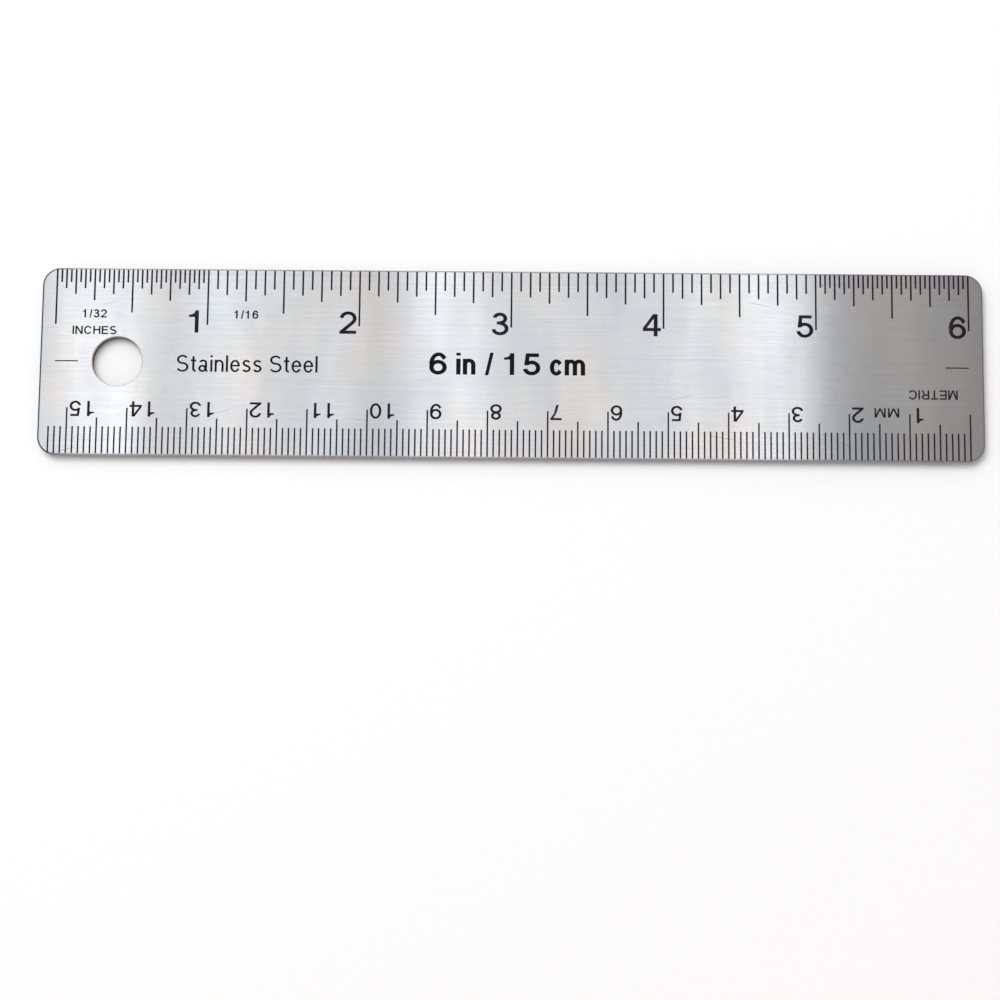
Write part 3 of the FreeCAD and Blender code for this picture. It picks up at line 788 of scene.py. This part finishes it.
walled = facing_down.outputs["Mesh"]
top_edges = open_edge.outputs["Result"]
for level_up in range(CORK_STOREYS):
    storey_up = add(sheet, "GeometryNodeExtrudeMesh", {
        "Mesh": walled,
        "Selection": top_edges,
        "Offset": upwards.outputs["Vector"],
        "Offset Scale": storey.outputs[0],
    }, mode="EDGES")
    walled = storey_up.outputs["Mesh"]
    top_edges = storey_up.outputs["Top"]
top_loop = add(sheet, "GeometryNodeStoreNamedAttribute", {
    "Geometry": walled,
    "Selection": top_edges,
    "Name": "glued",
    "Value": True,
}, data_type="BOOLEAN", domain="EDGE")

# Crumbling: a smooth sideways drift of every point, in the size of a crumb. The punched hole
# stays clean, and the drift grows away from it.
crumb_size = add(sheet, "ShaderNodeMath", {0: 1.0, 1: given["Crumb"]}, operation="DIVIDE")
drift = add(sheet, "ShaderNodeTexNoise", {
    "Vector": position,
    "W": given["Seed"],
    "Scale": crumb_size.outputs[0],
    "Detail": 1.0,
}, noise_dimensions="4D")
centred = add(sheet, "ShaderNodeVectorMath", {
    0: drift.outputs["Color"],
    1: (0.5, 0.5, 0.5),
}, operation="SUBTRACT")
sideways = add(sheet, "ShaderNodeVectorMath", {
    0: centred.outputs["Vector"],
    1: (2, 2, 0),
}, operation="MULTIPLY")
off_hole = add(sheet, "ShaderNodeMath", {
    0: radius.outputs["Value"],
    1: given["Hole Radius"],
}, operation="DIVIDE")
punched_clean = add(sheet, "ShaderNodeMapRange", {
    "Value": off_hole.outputs[0],
    "From Min": 1.02,
    "From Max": 1.3,
    "To Min": 0.0,
    "To Max": 1.0,
})
looseness = add(sheet, "ShaderNodeMath", {
    0: punched_clean.outputs["Result"],
    1: given["Ragged"],
}, operation="MULTIPLY")
drifting = add(sheet, "ShaderNodeVectorMath", {
    0: sideways.outputs["Vector"],
    "Scale": looseness.outputs[0],
}, operation="SCALE")
crumbled = add(sheet, "GeometryNodeSetPosition", {
    "Geometry": top_loop.outputs["Geometry"],
    "Offset": drifting.outputs["Vector"],
})

# Pits: the cut face, lowest in the sheet, rises between granules, and some granules sit back.
granule_size = add(sheet, "ShaderNodeMath", {0: 1.0, 1: given["Granule"]}, operation="DIVIDE")
pitting = add(sheet, "ShaderNodeTexVoronoi", {
    "Vector": position,
    "Scale": granule_size.outputs[0],
    "Randomness": 1.0,
}, feature="F1")
pit = add(sheet, "ShaderNodeMapRange", {
    "Value": pitting.outputs["Distance"],
    "From Min": 0.35,
    "From Max": 0.85,
})
chosen = add(sheet, "ShaderNodeSeparateXYZ", {"Vector": pitting.outputs["Color"]})
set_back = add(sheet, "ShaderNodeMath", {
    0: chosen.outputs["X"],
    1: 0.35,
    2: pit.outputs["Result"],
}, operation="MULTIPLY_ADD")
pit_height = add(sheet, "ShaderNodeMath", {
    0: set_back.outputs[0],
    1: given["Pit Depth"],
}, operation="MULTIPLY")
pit_up = add(sheet, "ShaderNodeCombineXYZ", {"Z": pit_height.outputs[0]})
heights = add(sheet, "ShaderNodeSeparateXYZ", {"Vector": position})
centre_height = add(sheet, "ShaderNodeSeparateXYZ", {"Vector": given["Centre"]})
cut_face = add(sheet, "FunctionNodeCompare", {
    0: add(sheet, "ShaderNodeMath", {
        0: given["Thickness"],
        1: -0.4,
        2: centre_height.outputs["Z"],
    }, operation="MULTIPLY_ADD").outputs[0],
    1: heights.outputs["Z"],
}, data_type="FLOAT", operation="GREATER_THAN")
pitted = add(sheet, "GeometryNodeSetPosition", {
    "Geometry": crumbled.outputs["Geometry"],
    "Selection": cut_face.outputs["Result"],
    "Offset": pit_up.outputs["Vector"],
})

# The glued face: filled in flat between the tops of the walls.
glued = add(sheet, "GeometryNodeInputNamedAttribute", {"Name": "glued"}, data_type="BOOLEAN")
outline = add(sheet, "GeometryNodeMeshToCurve", {
    "Mesh": pitted.outputs["Geometry"],
    "Selection": glued.outputs["Attribute"],
})
filled = add(sheet, "GeometryNodeFillCurve", {"Curve": outline.outputs["Curve"]})
glue_height = add(sheet, "ShaderNodeMath", {
    0: given["Thickness"],
    1: 0.5,
    2: centre_height.outputs["Z"],
}, operation="MULTIPLY_ADD")
lift = add(sheet, "ShaderNodeCombineXYZ", {"Z": glue_height.outputs[0]})
glue_face = add(sheet, "GeometryNodeTransform", {
    "Geometry": filled.outputs["Mesh"],
    "Translation": lift.outputs["Vector"],
})
joined = add(sheet, "GeometryNodeJoinGeometry")
sheet.links.new(pitted.outputs["Geometry"], joined.inputs["Geometry"])
sheet.links.new(glue_face.outputs["Geometry"], joined.inputs["Geometry"])
welded = add(sheet, "GeometryNodeMergeByDistance", {
    "Geometry": joined.outputs["Geometry"],
    "Distance": CORK_WELD * MM,
})
real = add(sheet, "GeometryNodeRealizeInstances", {"Geometry": welded.outputs["Geometry"]})
finished = add(sheet, "GeometryNodeSetMaterial", {
    "Geometry": real.outputs["Geometry"],
    "Material": given["Finish"],
})
add(sheet, "NodeGroupOutput", {"Geometry": finished.outputs["Geometry"]})

maker = bpy.data.objects.new("cork maker", bpy.data.meshes.new("cork maker"))
bpy.context.scene.collection.objects.link(maker)
modifier = maker.modifiers.new("Sliced cork sheet", "NODES")
modifier.node_group = sheet
for name, (_, value) in CORK_INPUTS.items():
    modifier[identifiers[name]] = value
evaluated = maker.evaluated_get(bpy.context.evaluated_depsgraph_get())
cork_mesh = bpy.data.meshes.new_from_object(evaluated)
bpy.data.objects.remove(maker)
shell = bmesh.new()
shell.from_mesh(cork_mesh)
bmesh.ops.remove_doubles(shell, verts=shell.verts, dist=CORK_WELD * MM)
bmesh.ops.recalc_face_normals(shell, faces=shell.faces)
shell.to_mesh(cork_mesh)
shell.free()
cork_mesh.attributes.remove(cork_mesh.attributes["glued"])
cork_piece = bpy.data.objects.new("cork_sheet", cork_mesh)
bpy.context.scene.collection.objects.link(cork_piece)
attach(cork_piece, "root")
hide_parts("cork_backing")

# ---------------------------------------------------------------- table and light
# A white table top, wide enough for every view, that is not part of the rule.
TABLE_HALF = 3.0
TABLE_GAP = 0.01
CARD_FIBRE = 1.2
table_mesh = bpy.data.meshes.new("table top")
table_mesh.from_pydata(
    [(sx * TABLE_HALF, sy * TABLE_HALF, cad_box[0][2] - TABLE_GAP * MM)
     for sx, sy in ((-1, -1), (1, -1), (1, 1), (-1, 1))],
    [],
    [(0, 1, 2, 3)],
)
table_top = bpy.data.objects.new("table_top", table_mesh)
bpy.context.scene.collection.objects.link(table_top)
white, tree, place = finish_for("white matt card")
fibre = add(tree, "ShaderNodeTexNoise", {
    "Vector": place.outputs["Object"],
    "Scale": per(CARD_FIBRE),
    "Detail": 3.0,
})
card = add(tree, "ShaderNodeMix", {
    0: fibre.outputs["Fac"],
    MIX_A: linear("#F4F4F4"),
    MIX_B: linear("#F8F8F8"),
}, data_type="RGBA")
shader = add(tree, "ShaderNodeBsdfPrincipled", {
    "Base Color": card.outputs[MIX_COLOUR],
    "Roughness": 0.9,
    "Specular IOR Level": 0.1,
})
add(tree, "ShaderNodeOutputMaterial", {"Surface": shader.outputs["BSDF"]})
table_mesh.materials.append(white)

# Light: soft panels in a row overhead, which the brushed face mirrors as broad bands, and one
# large soft key from behind and to the left that gives the short shadow.
PANEL_HEIGHT = 600 * MM
PANEL_CENTRE_Y = 125 * MM
PANEL_DEPTH = 420 * MM
GLARE, BRIGHT, PALE, MIDDLE, DIM, FAINT = 1.6, 1.35, 0.95, 0.78, 0.48, 0.17
PANELS = [
    # (left edge, right edge) in mm along the rule, and how bright it is
    (-260, -187, MIDDLE),
    (-187, -160, GLARE),
    (-160, -135, DIM),
    (-135, -113, BRIGHT),
    (-113, -98, DIM),
    (-98, -72, PALE),
    (-72, -47, DIM),
    (-47, -20, BRIGHT),
    (-20, 66, MIDDLE),
    (66, 78, BRIGHT),
    (78, 94, DIM),
    (94, 119, GLARE),
    (119, 185, FAINT),
]
LAMP_WHITE = "#F7FAFF"
KEY_PLACE = (-0.42, 0.50, 1.20)
KEY_SIDE = 0.95
KEY_BRIGHTNESS = 4.6


def soft_light(name, location, width, depth, radiance, aim=None):
    """A square-cornered soft light of an even brightness, facing down or at a point."""
    light = bpy.data.lights.new(name, "AREA")
    light.shape = "RECTANGLE"
    light.size = width
    light.size_y = depth
    light.energy = radiance * math.pi * width * depth
    light.color = linear(LAMP_WHITE)[:3]
    lamp = bpy.data.objects.new(name, light)
    lamp.location = location
    if aim is not None:
        lamp.rotation_euler = (Vector(aim) - Vector(location)).to_track_quat("-Z", "Y").to_euler()
    bpy.context.scene.collection.objects.link(lamp)
    return lamp


for number, (left, right, brightness) in enumerate(PANELS):
    soft_light(
        f"panel {number}",
        ((left + right) / 2 * MM, PANEL_CENTRE_Y, PANEL_HEIGHT),
        (right - left) * MM,
        PANEL_DEPTH,
        brightness,
    )
key = soft_light("key", KEY_PLACE, KEY_SIDE, KEY_SIDE, KEY_BRIGHTNESS, aim=(0, 0, 0))
key.visible_glossy = False

# The room round the lights: pale walls, brighter towards the key, under a dimmer ceiling. The
# change lies between two heights, in degrees above the horizon.
WALL_TOP = 22
CEILING_EDGE = 60
WALL_LIGHT = 0.80
CEILING_LIGHT = 0.33
KEY_SIDE_GAIN = 0.12
room = bpy.data.worlds.new("pale studio")
bpy.context.scene.world = room
room.use_nodes = True
tree = room.node_tree
tree.nodes.clear()
look = add(tree, "ShaderNodeTexCoord")
heights = add(tree, "ShaderNodeSeparateXYZ", {"Vector": look.outputs["Generated"]})
wall_to_ceiling = add(tree, "ShaderNodeMapRange", {
    "Value": heights.outputs["Z"],
    "From Min": math.sin(math.radians(WALL_TOP)),
    "From Max": math.sin(math.radians(CEILING_EDGE)),
    "To Min": WALL_LIGHT,
    "To Max": CEILING_LIGHT,
}, interpolation_type="SMOOTHSTEP")
key_side = add(tree, "ShaderNodeVectorMath", {
    0: look.outputs["Generated"],
    1: Vector((KEY_PLACE[0], KEY_PLACE[1], 0)).normalized(),
}, operation="DOT_PRODUCT")
room_light = add(tree, "ShaderNodeMath", {
    0: key_side.outputs["Value"],
    1: KEY_SIDE_GAIN,
    2: wall_to_ceiling.outputs["Result"],
}, operation="MULTIPLY_ADD")
backdrop = add(tree, "ShaderNodeBackground", {
    "Color": linear("#FFF9F3"),
    "Strength": room_light.outputs[0],
})
add(tree, "ShaderNodeOutputWorld", {"Surface": backdrop.outputs["Background"]})

# Camera: nearly straight above, a little towards the metric edge. Place in mm, turns in degrees.
CAMERA_PLACE = Vector((2.9, -81.8, 393.1)) * MM
TILT, LEAN, ROLL = 8.57, 0.57, 0.52
LENS = 86.3
camera = bpy.data.cameras.new("camera")
camera.lens = LENS
camera.sensor_width = 36.0
camera.clip_start = 0.01
camera.clip_end = 20.0
viewer = bpy.data.objects.new("camera", camera)
bpy.context.scene.collection.objects.link(viewer)
turn = Matrix.Rotation(math.radians(ROLL), 4, "Z") @ Matrix.Rotation(math.radians(TILT), 4, "X")
turn = turn @ Matrix.Rotation(math.radians(LEAN), 4, "Y")
viewer.matrix_world = Matrix.Translation(CAMERA_PLACE) @ turn
bpy.context.scene.camera = viewer
bpy.context.scene.view_settings.view_transform = "Standard"
